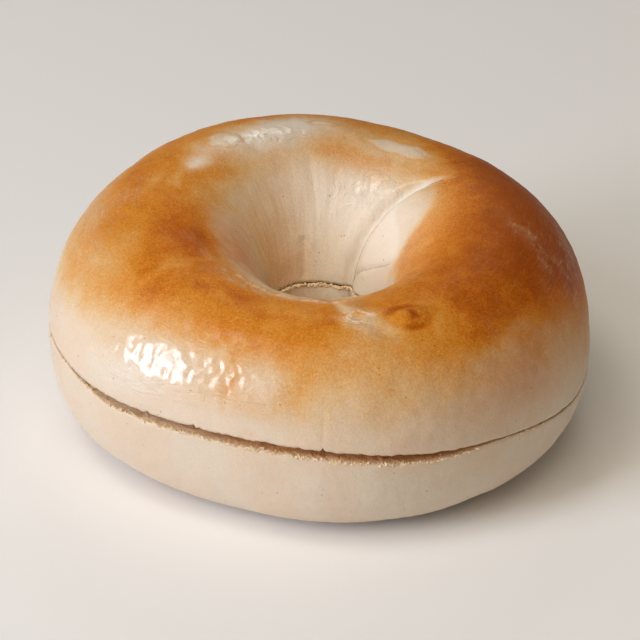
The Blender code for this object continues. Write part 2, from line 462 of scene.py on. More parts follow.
@dataclass(frozen=True)
class SkinPlaces:
    """Where a mesh's points lie on the ring, one number for each point."""

    points: Array
    angle: Array
    radius: Array
    height: Array
    over: Array

    @classmethod
    def of(cls, dough: Dough, angle: Array, radius: Array, height: Array) -> "SkinPlaces":
        """Work the places out from angles, radii and heights.

        Args:
            dough: The form that the points lie on.
            angle: A column of angles round the ring.
            radius: Radii, for each angle and point.
            height: Heights, for each angle and point.

        Returns:
            The places.
        """
        angle = np.broadcast_to(angle, radius.shape)
        points = np.stack([radius * np.cos(angle), radius * np.sin(angle), height], axis=-1)
        out = radius - dough.section.crest_radius.at(angle)
        over = np.arctan2(height - dough.section.core_height, out)
        return cls(points, angle, radius, height, over)


@dataclass(frozen=True)
class Patch:
    """An oval patch of skin.

    around and over tell its middle in degrees, long and wide its half sizes in millimetres round
    and over the ring, turn how far it is turned in degrees, and amount its strength.
    """

    around: float
    over: float
    long: float
    wide: float
    turn: float = 0.0
    amount: float = 1.0

    def distance(self, skin: SkinPlaces) -> Array:
        """Return how far each place lies from the middle, where 1 is the oval's edge."""
        reach = 23.0
        ring_radius = 31.6 + reach * math.cos(math.radians(self.over))
        along = turn_between(skin.angle, math.radians(self.around)) * ring_radius
        up = turn_between(skin.over, math.radians(self.over)) * reach
        lean = math.radians(self.turn)
        first = along * math.cos(lean) + up * math.sin(lean)
        second = up * math.cos(lean) - along * math.sin(lean)
        return np.hypot(first / self.long, second / self.wide)

    def soft(self, skin: SkinPlaces) -> Array:
        """Return the patch's amount at each place, fading softly outwards."""
        return self.amount * bell(self.distance(skin), 1.0)

    def flat(self, skin: SkinPlaces, edge: float = 0.12) -> Array:
        """Return the patch's amount at each place, even up to a narrow edge."""
        return self.amount * (1.0 - smooth_step(self.distance(skin), 1.0 - edge, 1.0 + edge))


def wandering(skin: SkinPlaces, size: float, distance: float, seed: int) -> SkinPlaces:
    """Shift the places about, so that what is laid on them gets uneven edges.

    Args:
        skin: The places.
        size: The size of the wandering's lumps, in metres.
        distance: How far places are shifted, in metres.
        seed: Moves the noise.

    Returns:
        The shifted places.
    """
    round_shift = distance * grain(skin.points, size, 4, seed) / np.maximum(skin.radius, 0.012)
    over_shift = distance * grain(skin.points, size, 4, seed + 1) / 0.023
    return SkinPlaces(skin.points, skin.angle + round_shift, skin.radius, skin.height, skin.over + over_shift)


@dataclass(frozen=True)
class Crease:
    """A fine fold that runs over the ring between two places, each (around, over) in degrees."""

    start: tuple[float, float]
    end: tuple[float, float]
    depth: float
    half_width: float

    def across(self, skin: SkinPlaces) -> Array:
        """Return how far each place lies from the fold: signed beside it, and growing past its ends."""
        reach = 23.0 * MM
        middle_over = math.radians((self.start[1] + self.end[1]) / 2.0)
        ring_radius = 31.6 * MM + reach * math.cos(middle_over)
        run_round = math.radians(self.end[0] - self.start[0]) * ring_radius
        run_over = math.radians(self.end[1] - self.start[1]) * reach
        length = math.hypot(run_round, run_over)
        along_round = turn_between(skin.angle, math.radians(self.start[0])) * ring_radius
        along_over = turn_between(skin.over, math.radians(self.start[1])) * reach
        along = (along_round * run_round + along_over * run_over) / length
        beside = (along_over * run_round - along_round * run_over) / length
        past = np.maximum(np.maximum(-along, along - length), 0.0)
        return beside + np.copysign(past, beside)

    def relief(self, skin: SkinPlaces) -> Array:
        """Return how far the skin sinks (-) or, with a negative depth, stands out (+)."""
        return -self.depth * bell(self.across(skin), self.half_width)


@dataclass(frozen=True)
class SkinRelief:
    """The skin's own unevenness: lumps, crinkles, wrinkles, blisters and fine folds."""

    lump_depth: float = 0.20 * MM
    pimple_depth: float = 0.035 * MM
    crinkle_depth: float = 0.12 * MM
    wrinkle_depth: float = 0.06 * MM
    blister_rise: float = 0.12 * MM
    crinkled: tuple[Patch, ...] = (
        Patch(-128, 40, 14, 9),
        Patch(-111, 48, 7, 7, 0, 0.7),
        Patch(-102, 40, 6, 6, 0, 0.5),
        Patch(-42, 44, 9, 7, 0, 0.5),
        Patch(118, 96, 9, 3, 0, 0.8),
        Patch(62, 126, 10, 8, 0, 0.45),
        Patch(-112, -4, 6, 4, 0, 0.6),
        Patch(-118, 106, 16, 2.4, 0, 0.9),
        Patch(-80, 83, 2.6, 8, 10, 1.0),
        Patch(-138, 28, 8, 5, 0, 0.5),
    )
    blisters: tuple[Patch, ...] = (
        Patch(129.5, 92.0, 3.4, 2.6, -14),
        Patch(61, 94.0, 7.0, 2.3, 4),
        Patch(90, 85.5, 2.8, 1.1, 0),
    )
    far_fold: Crease = Crease((109.5, 176), (107.5, 152), 0.35 * MM, 0.7 * MM)
    crest_fold: Crease = Crease((-148, 74), (-144.5, 106), -0.16 * MM, 0.7 * MM)
    rim_roll: tuple[tuple[float, float], tuple[float, float]] = ((-132, 112), (-82, 102))
    rim_roll_rise: float = 0.30 * MM
    rim_roll_half_width: float = 0.55 * MM
    front_fold: Crease = Crease((-90.2, 30), (-90.4, 8), 0.10 * MM, 0.5 * MM)
    back_folds: tuple[Crease, ...] = (
        Crease((55, 90.5), (49, 92.5), 0.16 * MM, 0.3 * MM),
        Crease((96, 140), (97, 112), 0.14 * MM, 0.8 * MM),
        Crease((86, 136), (83, 118), 0.12 * MM, 0.7 * MM),
    )

    def on_wall(self, skin: SkinPlaces) -> Array:
        """Return how far each place is down the wall of the hole, 0 to 1."""
        return smooth_step(np.degrees(skin.over), 108.0, 128.0) + (np.degrees(skin.over) < -100.0)

    def blister_edge(self, skin: SkinPlaces) -> Array:
        """Return how far outside (+) or inside (-) the nearest blister each place lies."""
        strayed = wandering(skin, 3.0 * MM, 0.9 * MM, 17)
        edges = [(patch.distance(strayed) - 1.0) * patch.wide * MM for patch in self.blisters]
        return np.min(edges, axis=0)

    def rim_shown(self, skin: SkinPlaces) -> Array:
        """Return how strongly the ragged roll along the hole's front rim shows, 0 to 1."""
        rolled = Crease(*self.rim_roll, -1.0, self.rim_roll_half_width)
        ragged = wandering(skin, 3.0 * MM, 0.7 * MM, 61)
        return rolled.relief(ragged) * (0.35 + 0.65 * smooth_step(grain(skin.points, 1.2 * MM, 3, 63), -0.25, 0.25))

    def at(self, dough: Dough, skin: SkinPlaces) -> Array:
        """Return how far each place stands out along the skin's normal."""
        relief = self.lump_depth * grain(skin.points, 8.0 * MM, 4, 1)
        relief = relief + self.pimple_depth * grain(skin.points, 1.7 * MM, 3, 2)
        zone = sum(patch.soft(skin) for patch in self.crinkled)
        crinkle = 1.0 - 2.0 * np.abs(grain(wandering(skin, 5.0 * MM, 2.0 * MM, 31).points, 2.2 * MM, 4, 5))
        relief = relief + self.crinkle_depth * np.minimum(zone, 1.0) * crinkle
        upright = np.stack(
            [14.0 * MM * np.cos(skin.angle), 14.0 * MM * np.sin(skin.angle), skin.height / 9.0], axis=-1
        )
        wrinkles = grain(upright, 1.1 * MM, 3, 6)
        relief = relief + self.wrinkle_depth * self.on_wall(skin) * wrinkles
        relief = relief + self.blister_rise * (1.0 - smooth_step(self.blister_edge(skin), -0.9 * MM, 0.2 * MM))
        for fold in (self.far_fold, self.crest_fold, self.front_fold, *self.back_folds):
            relief = relief + fold.relief(skin)
        relief = relief - dough.button.whorl_depth * dough.button.whorl(skin)
        relief = relief + self.rim_roll_rise * self.rim_shown(skin)
        x, y = skin.points[..., 0], skin.points[..., 1]
        lower = dough.lap.lower_crease(x, y, skin.height)
        relief = relief - dough.lap.lower_crease_depth * bell(lower, dough.lap.lower_crease_half_width)
        return relief * smooth_step(skin.height, 0.6 * MM, 4.0 * MM)


@dataclass(frozen=True)
class BrowningAndPaintedShade:
    """How far the oven has browned the skin, with painted shade on the hole's left wall and along the right rim: 0 is
    bare, and 1 is the darkest brown.
    """

    outer_edge: RingSize = RingSize(36.0, ((3, 4.0, -155),))
    outer_edge_width: float = 21.0
    inner_edge: float = 114.0
    inner_edge_width: float = 11.0
    deep_edge: float = 40.0
    deep_angle: float = math.radians(-24)
    deep_half_spread: float = math.radians(52)
    deep_fade: float = math.radians(26)
    even: float = 0.60
    whorl_brown: float = 0.36
    # Most patches are uneven baking; the two marked below are painted shade.
    browned_and_painted_shade: tuple[Patch, ...] = (
        Patch(-165, 90, 20, 14, 0, 0.06),
        Patch(-176, 97, 10, 6, 0, 0.12),
        Patch(136, 105, 9, 5, 0, 0.26),
        Patch(160, 70, 14, 8, 0, 0.10),
        Patch(-35, 84, 16, 10, 0, 0.16),
        Patch(-25, 96, 22, 12, 0, 0.10),
        Patch(2, 64, 18, 14, 0, 0.26),
        Patch(28, 68, 16, 14, 0, 0.26),
        Patch(-12, 40, 10, 12, 0, 0.14),
        Patch(-46, 60, 10, 8, 0, 0.08),
        Patch(-80, 30, 36, 11, 0, 0.07),
        Patch(-52, 30, 18, 9, 0, 0.06),
        Patch(-74, 4, 40, 9, 0, 0.03),
        Patch(144, 107, 6, 4, 0, 0.16),
        Patch(-108, 44, 9, 5, 0, 0.16),
        Patch(-114, 66, 10, 5, 0, 0.10),
        Patch(-150, 62, 12, 6, 0, 0.10),
        Patch(140, 162, 7, 14, 0, 0.22),
        Patch(150, 138, 12, 12, 0, 0.05),
        # Painted shade on the hole's left wall.
        Patch(-156, 127, 7, 12, 0, 0.16),
        # Painted shade along the right rim.
        Patch(18, 42, 26, 9, 0, 0.24),
        Patch(2, 88, 22, 14, 0, 0.03),
        Patch(76, 97, 5, 2.4, 0, 0.26),
        Patch(-18, 66, 22, 14, 0, 0.14),
        Patch(-48, 52, 12, 7, 0, 0.12),
        Patch(30, 84, 16, 8, 0, 0.12),
        Patch(152, 134, 14, 12, 0, 0.05),
        Patch(-18, 24, 22, 9, 0, 0.16),
        Patch(-132, 86, 3.5, 2.2, 0, 0.14),
        Patch(-121, 94, 4.0, 2.6, 0, 0.20),
        Patch(-146, 68, 6.0, 4.0, 0, 0.12),
        Patch(-107, 83, 3.5, 2.2, 0, 0.14),
        Patch(-103, 62, 3.6, 2.6, 0, 0.12),
        Patch(-95, 68, 4.0, 3.0, 0, 0.12),
        Patch(-87, 81, 4.5, 3.0, 0, 0.14),
        Patch(92, 102, 5.0, 3.0, 0, 0.52),
        Patch(83, 106, 4.0, 1.8, 0, 0.25),
        Patch(70, 112, 9, 4.0, 0, 0.42),
        Patch(106, 79, 9, 2.0, 0, 0.20),
        Patch(-112, 40, 1.5, 4.5, 0, 0.40),
        Patch(-65, 76, 4.2, 3.2, 0, 0.14),
        Patch(112, 166, 6, 14, 0, 0.24),
        Patch(90, -172, 20, 10, 0, 0.10),
    )
    bare: tuple[Patch, ...] = (
        Patch(100, 113, 26, 9, 0, 0.55),
        Patch(113, 96, 13, 3.8, 0, 0.75),
        Patch(100, 88, 8, 2.2, 0, 0.70),
        Patch(149, 96, 2.6, 1.9, 0, 0.50),
        Patch(162, 92, 2.6, 1.2, 0, 0.30),
        Patch(165, 84, 3.4, 1.2, 0, 0.32),
        Patch(140, 89, 2.4, 1.8, 0, 0.40),
        Patch(61, 94, 9.5, 4.0, 0, 0.55),
        Patch(166, 54, 17, 5.0, 0, 0.48),
        Patch(-162, 60, 6, 4.0, 0, 0.24),
        Patch(-164, 74, 6, 2.2, 0, 0.16),
        Patch(178, 86, 6, 4.0, 0, 0.10),
        Patch(-80, 46, 17, 9, 0, 0.26),
        Patch(-88, 42, 16, 9, 0, 0.16),
        Patch(-66, 34, 16, 6, 0, 0.12),
        Patch(-84, 66, 8, 4, 0, 0.16),
        Patch(-147, 91, 0.8, 11, 0, 0.22),
        Patch(-125, 90, 2.6, 1.6, 0, 0.22),
        Patch(-130, 43, 16, 7.0, 0, 0.72),
        Patch(-118, 50, 6, 4.0, 0, 0.40),
        Patch(-104, 44, 5.2, 6.0, 0, 0.50),
        Patch(-83, 92, 1.6, 6.0, 12, 0.60),
        Patch(-78, 79, 2.4, 3.4, 0, 0.55),
        Patch(-72, 72, 2.6, 3.0, 0, 0.34),
        Patch(98, 82, 6, 3.0, 0, 0.40),
        Patch(-46, 40, 9.0, 5.0, 0, 0.50),
        Patch(-28, 36, 8.0, 6.0, 0, 0.20),
        Patch(-90, 34, 2.6, 4.0, 0, 0.20),
        Patch(-58, 84, 3.0, 2.0, 0, 0.14),
        Patch(-17, 52, 12.0, 2.5, 25, 0.10),
        Patch(168, 110, 5.0, 3.0, 0, 0.30),
        Patch(-153, 64, 5.0, 3.0, 0, 0.32),
        Patch(-165, 50, 7.0, 5.0, 0, 0.20),
        Patch(121, 103, 12, 4.0, 0, 0.42),
        Patch(70, 101, 10, 3.0, 0, 0.34),
        Patch(-59, 69, 4.0, 5.0, 0, 0.26),
        Patch(-74, 48, 9.0, 5.0, 0, 0.06),
    )

    def at(self, dough: Dough, skin: SkinPlaces) -> Array:
        """Return how far each place is browned, with the painted shade added in."""
        over = np.degrees(wandering(skin, 9.0 * MM, 2.6 * MM, 3).over)
        outside = self.outer_edge.at(skin.angle)
        baked = smooth_step(over, outside - self.outer_edge_width, outside + self.outer_edge_width)
        turned = np.abs(turn_between(skin.angle, self.deep_angle))
        deep = 1.0 - smooth_step(turned, self.deep_half_spread - self.deep_fade, self.deep_half_spread)
        into_hole = smooth_step(over - self.inner_edge - self.deep_edge * deep, -self.inner_edge_width, self.inner_edge_width)
        amount = self.even * baked * (1.0 - into_hole)
        spots = wandering(skin, 4.0 * MM, 1.6 * MM, 7)
        for patch in self.browned_and_painted_shade:
            amount = amount + patch.soft(spots)
        for patch in self.bare:
            amount = amount * (1.0 - patch.soft(spots))
        amount = amount + self.whorl_brown * dough.button.whorl(skin)
        amount = amount + 0.10 * amount * grain(skin.points, 7.0 * MM, 4, 11)
        return np.clip(amount * self.lens_bare(dough, skin), 0.0, 1.2)

    def lens_bare(self, dough: Dough, skin: SkinPlaces) -> Array:
        """Return 0 on the lap's bare lens and along its crease, and 1 elsewhere."""
        x, y = skin.points[..., 0], skin.points[..., 1]
        across = dough.lap.across(x, y)
        strayed = 0.5 * MM * grain(skin.points, 2.5 * MM, 3, 13)
        inside = smooth_step(across + strayed, -dough.lap.lens_reach(skin.height), 3.2 * MM - dough.lap.lens_reach(skin.height))
        beyond = 1.0 - smooth_step(across, 0.2 * MM, 2.0 * MM)
        along = smooth_step(x, 1.0 * MM, 4.0 * MM) * (1.0 - smooth_step(x, 20.0 * MM, 25.5 * MM))
        return 1.0 - inside * beyond * along * (skin.height > dough.section.core_height)


@dataclass(frozen=True)
class SkinLooks:
    """Where the skin shines; where it is pale, tan or fibrous, some of the pale being painted light and some of the
    tan painted shade; and where it is dry and scuffed.
    """

    plain_gloss: float = 0.03
    glossy: tuple[Patch, ...] = (
        Patch(-129, 39, 14, 8.5, 0, 1.0),
        Patch(-139, 29, 8, 6.0, 0, 0.7),
        Patch(-113, 46, 7, 8, 0, 0.6),
        Patch(-103, 42, 5, 6, 0, 0.35),
        Patch(62, 124, 9, 8, 0, 1.0),
        Patch(116, 97, 9, 2.6, 0, 0.9),
        Patch(-80, 84, 2.4, 9, 10, 1.0),
        Patch(-162, 66, 6, 5, 0, 0.25),
    )
    pale: tuple[Patch, ...] = (
        Patch(117, 96, 10, 2.6, 0, 1.0),
        Patch(102, 89, 6, 1.8, 0, 0.80),
        Patch(149, 96, 2.2, 1.4, 0, 0.80),
        # Painted light: the far wall is brightened where light reaches deep into the hole.
        Patch(72, 138, 11, 9, 0, 0.50),
        Patch(96, 144, 10, 10, 0, 0.40),
        Patch(58, 176, 7, 17, 0, 0.85),
        Patch(-105, 42, 4.5, 5.0, 0, 0.40),
        Patch(-130, 34, 18, 9, 0, 0.30),
        Patch(-84, 94, 1.2, 4.0, 12, 0.35),
        Patch(-78, 77, 2.2, 2.6, 0, 0.10),
        Patch(98, 82, 6, 2.6, 0, 0.40),
        # Painted light on the bottom half's inner wall under the far slit.
        Patch(78, -172, 20, 12, 0, 0.40),
    )
    # Pinkish, dull skin, and painted shade where shade falls on the hole's left wall and the right rim.
    tan: tuple[Patch, ...] = (
        Patch(-44, 33, 12, 10, 0, 0.75),
        Patch(-16, 38, 9, 17, 0, 0.80),
        Patch(-60, 22, 22, 10, 0, 0.25),
        # Painted shade on the hole's left wall.
        Patch(178, 124, 6, 11, 0, 0.45),
        Patch(-156, 127, 7, 12, 0, 1.00),
        Patch(166, 56, 22, 7, 0, 0.45),
        Patch(-104, 30, 10, 5, 0, 0.20),
        # Painted shade along the right rim.
        Patch(8, 40, 18, 12, 0, 0.60),
        Patch(-27, 46, 5, 8, 0, 0.50),
    )
    fibrous: tuple[Patch, ...] = (
        Patch(-10, 71, 9, 1.7, 38, 0.80),
        Patch(-3, 48, 10, 4.0, 24, 0.75),
        Patch(-16, 44, 8, 3.0, 60, 0.60),
        Patch(-118, 106.5, 16, 2.0, 0, 1.00),
        Patch(-40, 46, 7, 1.6, -30, 0.55),
        Patch(166, 57, 16, 4.0, 4, 0.50),
        Patch(150, 68, 12, 2.2, -20, 0.35),
        Patch(172, 74, 10, 2.0, -12, 0.40),
        Patch(-176, 60, 12, 2.0, 0, 0.35),
    )
    dry: tuple[Patch, ...] = (
        Patch(-8, 72, 22, 14, 0, 1.0),
        Patch(-30, 92, 16, 10, 0, 0.5),
        Patch(-42, 48, 10, 8, 0, 0.8),
        Patch(166, 62, 24, 12, 0, 0.9),
    )

    def gloss_at(self, skin: SkinPlaces) -> Array:
        """Return how glossy each place is, 0 to 1."""
        spots = wandering(skin, 4.0 * MM, 1.5 * MM, 41)
        return np.clip(self.plain_gloss + sum(patch.soft(spots) for patch in self.glossy), 0.0, 1.0)

    def pale_and_painted_light_at(self, skin: SkinPlaces) -> Array:
        """Return how pale each place is, from bleached skin and from painted light deep in the hole, 0 to 1."""
        spots = wandering(skin, 4.0 * MM, 1.5 * MM, 43)
        return np.clip(sum(patch.soft(spots) for patch in self.pale), 0.0, 1.0)

    def tan_and_painted_shade_at(self, skin: SkinPlaces) -> Array:
        """Return how pinkish and dull each place is, with painted shade on the hole's left wall and along the right
        rim, 0 to 1.
        """
        spots = wandering(skin, 5.0 * MM, 2.0 * MM, 45)
        return np.clip(sum(patch.soft(spots) for patch in self.tan), 0.0, 1.0)

    def fibrous_at(self, skin: SkinPlaces) -> Array:
        """Return how much pale fibre shows at each place, 0 to 1."""
        spots = wandering(skin, 5.0 * MM, 2.2 * MM, 47)
        return np.clip(sum(patch.soft(spots) for patch in self.fibrous), 0.0, 1.0)

    def dry_at(self, skin: SkinPlaces) -> Array:
        """Return how dry and scuffed each place is, 0 to 1."""
        return np.clip(sum(patch.soft(skin) for patch in self.dry), 0.0, 1.0)


# ---------------------------------------------------------------------------------------------
# Shader writing
# ---------------------------------------------------------------------------------------------

Value = Union["Wire", float]


class Wire:
    """An output of a material's node, which sums can be written with."""

    def __init__(self, desk: "Desk", socket: bpy.types.NodeSocket) -> None:
        """Keep the socket and the desk that its nodes are added on."""
        self.desk = desk
        self.socket = socket

    def __add__(self, other: Value) -> "Wire":
        """Add."""
        return self.desk.maths("ADD", self, other)

    def __radd__(self, other: Value) -> "Wire":
        """Add, with the number first."""
        return self.desk.maths("ADD", other, self)

    def __sub__(self, other: Value) -> "Wire":
        """Subtract."""
        return self.desk.maths("SUBTRACT", self, other)

    def __rsub__(self, other: Value) -> "Wire":
        """Subtract from a number."""
        return self.desk.maths("SUBTRACT", other, self)

    def __mul__(self, other: Value) -> "Wire":
        """Multiply."""
        return self.desk.maths("MULTIPLY", self, other)

    def __rmul__(self, other: Value) -> "Wire":
        """Multiply, with the number first."""
        return self.desk.maths("MULTIPLY", other, self)

    def __truediv__(self, other: Value) -> "Wire":
        """Divide."""
        return self.desk.maths("DIVIDE", self, other)

    def __pow__(self, other: Value) -> "Wire":
        """Raise to a power."""
        return self.desk.maths("POWER", self, other)

    def eased(self, low: float, high: float) -> "Wire":
        """Ease from 0 at low to 1 at high."""
        settings = {"interpolation_type": "SMOOTHSTEP"}
        return self.desk.node("ShaderNodeMapRange", settings, {0: self, 1: low, 2: high})


class Desk:
    """Where a material's nodes are laid out and joined."""

    def __init__(self, name: str) -> None:
        """Start a material with one Principled shader.

        Args:
            name: The material's name.
        """
        self.material = bpy.data.materials.new(name)
        self.material.use_nodes = True
        self.nodes = self.material.node_tree.nodes
        self.links = self.material.node_tree.links
        self.shader = self.nodes["Principled BSDF"]

    def node(self, kind: str, settings: dict[str, Any], inputs: dict[Any, Any], output: Any = 0) -> Wire:
        """Add any node.

        Args:
            kind: The node's type.
            settings: The node's settings by name; "stops" gives a colour ramp's.
            inputs: Values or wires by socket name or number.
            output: The output socket's name or number.

        Returns:
            The node's output.
        """
        made = self.nodes.new(kind)
        for name, value in settings.items():
            if name == "stops":
                self.set_stops(made.color_ramp, value)
            else:
                setattr(made, name, value)
        for key, value in inputs.items():
            self.feed(self.find(made.inputs, key), value)
        return Wire(self, self.find(made.outputs, output))

    @staticmethod
    def find(sockets: Any, key: Any) -> bpy.types.NodeSocket:
        """Return the socket with that number, identifier or name."""
        if isinstance(key, int):
            return sockets[key]
        return next((socket for socket in sockets if socket.identifier == key), None) or sockets[key]

    @staticmethod
    def set_stops(ramp: bpy.types.ColorRamp, stops: list[tuple[float, tuple[float, ...]]]) -> None:
        """Give a colour ramp these stops."""
        while len(ramp.elements) > 1:
            ramp.elements.remove(ramp.elements[-1])
        ramp.elements[0].position = stops[0][0]
        ramp.elements[0].color = (*stops[0][1], 1.0)
        for position, colour in stops[1:]:
            ramp.elements.new(position).color = (*colour, 1.0)

    def feed(self, socket: bpy.types.NodeSocket, value: Any) -> None:
        """Link a wire to a socket, or set the socket's value."""
        if isinstance(value, Wire):
            self.links.new(value.socket, socket)
        elif socket.type == "RGBA" and len(value) == 3:
            socket.default_value = (*value, 1.0)
        else:
            socket.default_value = value

    def finish(self, **inputs: Any) -> bpy.types.Material:
        """Feed the shader's sockets, named with underscores for spaces, and return the material."""
        for name, value in inputs.items():
            self.feed(self.shader.inputs[name.replace("_", " ")], value)
        return self.material

    def maths(self, operation: str, first: Value, second: Value = 0.0) -> Wire:
        """Add a Math node."""
        return self.node("ShaderNodeMath", {"operation": operation}, {0: first, 1: second})

    def mix(self, share: Value, first: Any, second: Any, blend: str = "MIX") -> Wire:
        """Mix two colours."""
        settings = {"data_type": "RGBA", "blend_type": blend, "clamp_factor": True}
        inputs = {"Factor_Float": share, "A_Color": first, "B_Color": second}
        return self.node("ShaderNodeMix", settings, inputs, "Result_Color")

    def attribute(self, name: str) -> Wire:
        """Read a number that the mesh's points carry."""
        return self.node("ShaderNodeAttribute", {"attribute_name": name}, {}, "Fac")

    def lumps(self, place: Wire, size: float, detail: float = 3.0, roughness: float = 0.5) -> Wire:
        """Add a noise texture with lumps of that size in metres, from 0 to 1."""
        inputs = {"Vector": place, "Scale": 1.0 / size, "Detail": detail, "Roughness": roughness}
        return self.node("ShaderNodeTexNoise", {}, inputs, "Fac")

    def stretched(self, place: Wire, scale: tuple[float, float, float]) -> Wire:
        """Scale a place's axes."""
        return self.node("ShaderNodeVectorMath", {"operation": "MULTIPLY"}, {0: place, 1: scale}, "Vector")


# ---------------------------------------------------------------------------------------------
# Finishes
# ---------------------------------------------------------------------------------------------

Colour = tuple[float, float, float]


@dataclass(frozen=True)
class CrustFinish:
    """Boiled and baked skin, from bare cream to dark orange-brown."""

    name: str
    stops: tuple[tuple[float, Colour], ...] = (
        (0.00, (0.74, 0.637, 0.510)),
        (0.15, (0.74, 0.57, 0.38)),
        (0.30, (0.74, 0.49, 0.24)),
        (0.45, (0.72, 0.37, 0.100)),
        (0.62, (0.69, 0.272, 0.025)),
        (0.80, (0.56, 0.162, 0.006)),
        (1.00, (0.41, 0.096, 0.002)),
    )

    blister_colour: Colour = (0.80, 0.72, 0.60)
    # The bare lens's colour, also used to paint light deep in the hole.
    bare_and_painted_light_colour: Colour = (0.87, 0.80, 0.71)
    blush: Colour = (1.0, 0.92, 0.88)
    speck: Colour = (0.50, 0.34, 0.20)
    # Painted shade along the creases.
    crease: Colour = (0.42, 0.30, 0.20)
    hair: Colour = (0.80, 0.62, 0.42)
    # Multiplied in for pinkish, dull skin and for painted shade.
    tan: Colour = (0.88, 0.68, 0.60)
    fibre: Colour = (0.66, 0.46, 0.30)
    grit: Colour = (0.82, 0.68, 0.52)

    def material(self) -> bpy.types.Material:
        """Make the material."""
        desk = Desk(self.name)
        place = desk.node("ShaderNodeTexCoord", {}, {}, "Object")
        x, y, z = (desk.node("ShaderNodeSeparateXYZ", {}, {0: place}, axis) for axis in "XYZ")
        turn = desk.maths("ARCTAN2", x, 0.0 - y)
        radius = desk.maths("SQRT", x * x + y * y)
        fine = desk.lumps(place, 0.5 * MM, 3.0, 0.8)
        mottle = desk.lumps(place, 2.4 * MM, 4.0, 0.6)
        cloud = desk.lumps(place, 11.0 * MM, 3.0)
        hairs = self.hairs(desk, turn, radius, z)
        streaks = self.streaks(desk, turn, z)
        colour = self.colour(desk, place, fine, mottle, cloud, hairs, streaks)
        gloss = desk.attribute("gloss")
        ridges = self.ridges(desk, turn, radius, z)
        height = (
            fine * 0.08
            + mottle * 0.05
            + gloss * ridges * 0.36
            + desk.attribute("wall") * streaks * 0.10
            + desk.attribute("dry") * hairs * 0.03
        )
        bump = desk.node("ShaderNodeBump", {}, {"Height": height, "Distance": MM, "Strength": 1.0}, "Normal")
        return desk.finish(
            Base_Color=colour,
            Roughness=0.52 + (mottle - 0.5) * 0.25 - gloss * 0.26,
            Coat_Weight=gloss * mottle.eased(0.25, 0.48),
            Coat_Roughness=0.18,
            Coat_IOR=1.6,
            Specular_IOR_Level=0.13,
            Subsurface_Weight=0.15,
            Subsurface_Radius=(1.0, 0.5, 0.25),
            Subsurface_Scale=2.0 * MM,
            Normal=bump,
        )

    @staticmethod
    def ridges(desk: Desk, turn: Wire, radius: Wire, height: Wire) -> Wire:
        """Draw the crinkles of a shrunken film, longer round the ring than across it, from 0 to 1."""
        inputs = {"X": turn * (33.0 * MM / 2.4), "Y": radius, "Z": height}
        round_place = desk.node("ShaderNodeCombineXYZ", {}, inputs, "Vector")
        inputs = {"Vector": round_place, "Scale": 1.0 / (2.4 * MM), "Detail": 2.5, "Roughness": 0.5, "Distortion": 1.2}
        noisy = desk.node("ShaderNodeTexNoise", {}, inputs, "Fac")
        return desk.maths("ABSOLUTE", noisy - 0.5) * 2.0

    @staticmethod
    def hairs(desk: Desk, turn: Wire, radius: Wire, height: Wire) -> Wire:
        """Draw fine hairs that run round the ring, from 0 to 1."""
        inputs = {"X": turn * (33.0 * MM / 10.0), "Y": radius, "Z": height}
        round_place = desk.node("ShaderNodeCombineXYZ", {}, inputs, "Vector")
        noisy = desk.node(
            "ShaderNodeTexNoise",
            {},
            {"Vector": round_place, "Scale": 1.0 / (0.8 * MM), "Detail": 2.0, "Distortion": 0.6},
            "Fac",
        )
        return 1.0 - desk.maths("ABSOLUTE", noisy - 0.52).eased(0.004, 0.03)

    @staticmethod
    def streaks(desk: Desk, turn: Wire, height: Wire) -> Wire:
        """Draw streaks that run up the wall of the hole, from 0 to 1."""
        upright = desk.node("ShaderNodeCombineXYZ", {}, {"X": turn * (13.0 * MM), "Z": height * 0.13}, "Vector")
        return desk.lumps(upright, 0.9 * MM, 3.0, 0.6)

    def colour(
        self, desk: Desk, place: Wire, fine: Wire, mottle: Wire, cloud: Wire, hairs: Wire, streaks: Wire
    ) -> Wire:
        """Colour the skin.

        Args:
            desk: The material's desk.
            place: Places on the object.
            fine: Fine noise.
            mottle: Middling noise.
            cloud: Broad noise.
            hairs: Where fine hairs run.
            streaks: Streaks on the wall of the hole.

        Returns:
            The colour.
        """
        # Browning, with painted shade on the hole's left wall and along the right rim.
        bake_and_painted_shade = desk.attribute("bake_and_painted_shade")
        uneven = (mottle - 0.5) * 0.70 + (fine - 0.5) * 1.6
        browned_and_painted_shade = bake_and_painted_shade + (0.17 + bake_and_painted_shade * 0.30) * uneven
        browned_and_painted_shade = browned_and_painted_shade + desk.attribute("wall") * (streaks - 0.5) * 0.25
        colour = desk.node("ShaderNodeValToRGB", {"stops": list(self.stops)}, {"Fac": browned_and_painted_shade}, "Color")
        colour = desk.mix(cloud.eased(0.35, 0.7) * (1.0 - bake_and_painted_shade), colour, self.blush, "MULTIPLY")
        # Bare lens, pale skin and the rim's roll, and painted light deep in the hole.
        colour = desk.mix(desk.attribute("bald_and_painted_light") * 0.9, colour, self.bare_and_painted_light_colour)
        # Pinkish dullness, and painted shade on the hole's left wall and along the right rim.
        colour = desk.mix(desk.attribute("tan") * (0.55 + mottle * 0.9), colour, self.tan, "MULTIPLY")
        strands = desk.attribute("fibrous") * (0.45 + hairs * 0.9) * mottle.eased(0.35, 0.6)
        colour = desk.mix(strands, colour, self.fibre)
        edge = desk.attribute("blister")
        inside = 1.0 - edge.eased(-0.9, 0.2)
        colour = desk.mix(inside * 0.55, colour, self.blister_colour)
        rim = 1.0 - desk.maths("ABSOLUTE", edge - 0.1).eased(0.1, 0.45)
        colour = desk.mix(rim * mottle.eased(0.3, 0.55) * 0.5, colour, self.stops[3][1])
        colour = desk.mix(desk.attribute("dry") * hairs * fine.eased(0.4, 0.65) * 0.12, colour, self.hair)
